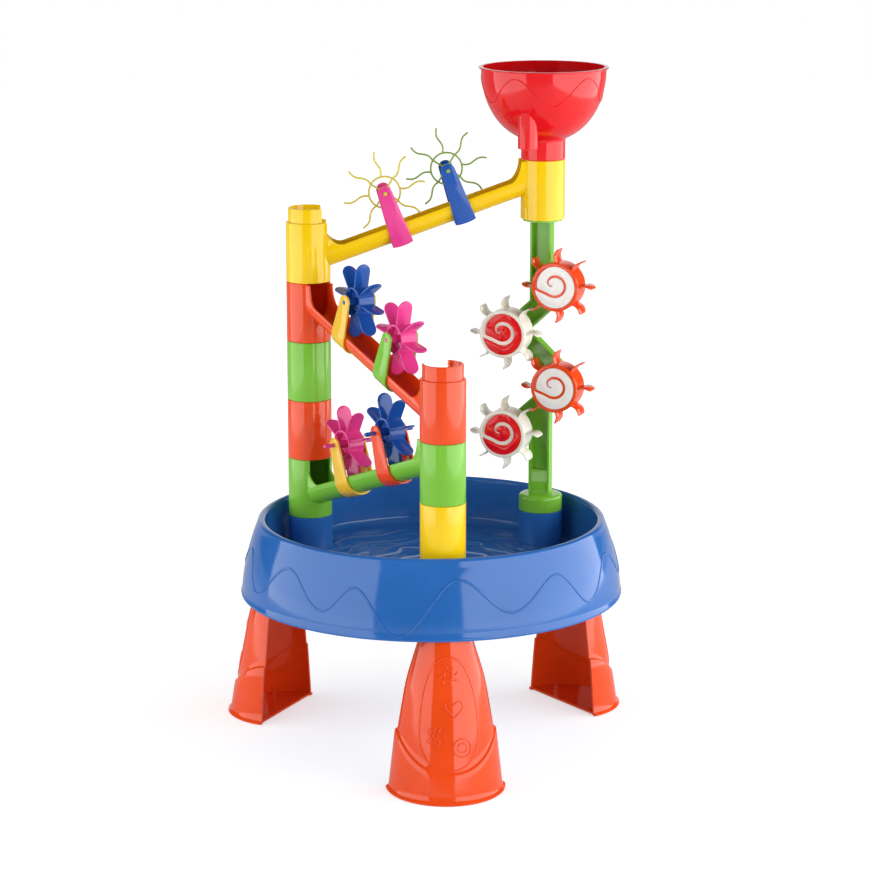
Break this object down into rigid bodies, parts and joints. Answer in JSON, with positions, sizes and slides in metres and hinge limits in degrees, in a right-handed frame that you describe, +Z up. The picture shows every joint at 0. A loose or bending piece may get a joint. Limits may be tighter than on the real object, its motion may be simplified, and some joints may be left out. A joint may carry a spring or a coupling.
{
  "type": "water table",
  "caption": "Round water play table on splayed legs with stacked tube columns, sloping troughs with spinning paddle wheels, a zigzag cascade of swirl wheels and a pouring funnel.",
  "frame": {"origin": "centre of the bounding box on the floor plane", "axes": "+Z up, -Y towards the front leg and the front column, +X towards the funnel and the cascade"},
  "size_m": [0.517, 0.5292, 0.8423],
  "materials": {
    "amber": "smooth glossy injection-moulded plastic, amber",
    "blue": "smooth glossy injection-moulded plastic, blue",
    "cream": "smooth glossy injection-moulded plastic, cream",
    "green": "smooth glossy injection-moulded plastic, green",
    "orange": "smooth glossy injection-moulded plastic, orange",
    "pink": "smooth glossy injection-moulded plastic, pink",
    "red": "smooth glossy injection-moulded plastic, red",
    "sun_green": "smooth glossy injection-moulded plastic, sun green",
    "sun_yellow": "smooth glossy injection-moulded plastic, sun yellow",
    "white": "smooth glossy injection-moulded plastic, white",
    "yellow": "smooth glossy injection-moulded plastic, yellow"
  },
  "bodies": {
    "frame": {"basin": "blue", "cascade_post": "green", "front_ring_yellow": "yellow", "funnel": "red", "green_trough": "green", "left_ring_green": "green", "left_ring_orange": "orange", "leg_front": "orange", "leg_left": "orange", "leg_right": "orange", "orange_trough": "orange", "paddle_bracket_1": "amber", "paddle_bracket_2": "green", "paddle_bracket_3": "orange", "paddle_bracket_4": "amber", "sun_bracket_blue": "blue", "sun_bracket_pink": "pink", "yellow_trough": "yellow"},
    "paddle_wheel_1_body": {"paddle_wheel_1": "blue"},
    "paddle_wheel_2_body": {"paddle_wheel_2": "pink"},
    "paddle_wheel_3_body": {"paddle_wheel_3": "blue"},
    "paddle_wheel_4_body": {"paddle_wheel_4": "pink"},
    "sun_wheel_green_body": {"sun_wheel_green": "sun_green"},
    "sun_wheel_yellow_body": {"sun_wheel_yellow": "sun_yellow"},
    "swirl_wheel_1_body": {"swirl_wheel_1": "orange", "swirl_inlay_1": "white"},
    "swirl_wheel_2_body": {"swirl_wheel_2": "cream", "swirl_inlay_2": "red"},
    "swirl_wheel_3_body": {"swirl_wheel_3": "orange", "swirl_inlay_3": "white"},
    "swirl_wheel_4_body": {"swirl_wheel_4": "cream", "swirl_inlay_4": "red"}
  },
  "joints": [
    {"name": "paddle_wheel_1_spin", "type": "hinge", "parent": "frame", "child": "paddle_wheel_1_body", "pos_m": [-0.09182, 0.01094, 0.56467], "axis": [0.866, 0.5, 0], "continuous": true},
    {"name": "paddle_wheel_2_spin", "type": "hinge", "parent": "frame", "child": "paddle_wheel_2_body", "pos_m": [-0.04559, -0.06913, 0.53218], "axis": [0.866, 0.5, 0], "continuous": true},
    {"name": "paddle_wheel_3_spin", "type": "hinge", "parent": "frame", "child": "paddle_wheel_3_body", "pos_m": [-0.05837, -0.047, 0.41181], "axis": [-0.866, -0.5, 0], "continuous": true},
    {"name": "paddle_wheel_4_spin", "type": "hinge", "parent": "frame", "child": "paddle_wheel_4_body", "pos_m": [-0.10459, 0.03307, 0.37932], "axis": [-0.866, -0.5, 0], "continuous": true},
    {"name": "sun_wheel_green_spin", "type": "hinge", "parent": "frame", "child": "sun_wheel_green_body", "pos_m": [0.02684, 0.10991, 0.71423], "axis": [0, -1, 0], "continuous": true},
    {"name": "sun_wheel_yellow_spin", "type": "hinge", "parent": "frame", "child": "sun_wheel_yellow_body", "pos_m": [-0.05241, 0.10991, 0.68639], "axis": [0, -1, 0], "continuous": true},
    {"name": "swirl_wheel_1_spin", "type": "hinge", "parent": "frame", "child": "swirl_wheel_1_body", "pos_m": [0.17074, 0.07558, 0.5713], "axis": [-0.454, -0.891, 0], "continuous": true},
    {"name": "swirl_wheel_2_spin", "type": "hinge", "parent": "frame", "child": "swirl_wheel_2_body", "pos_m": [0.10837, 0.10735, 0.5063], "axis": [-0.454, -0.891, 0], "continuous": true},
    {"name": "swirl_wheel_3_spin", "type": "hinge", "parent": "frame", "child": "swirl_wheel_3_body", "pos_m": [0.17074, 0.07558, 0.4413], "axis": [-0.454, -0.891, 0], "continuous": true},
    {"name": "swirl_wheel_4_spin", "type": "hinge", "parent": "frame", "child": "swirl_wheel_4_body", "pos_m": [0.10837, 0.10735, 0.3763], "axis": [-0.454, -0.891, 0], "continuous": true}
  ]
}
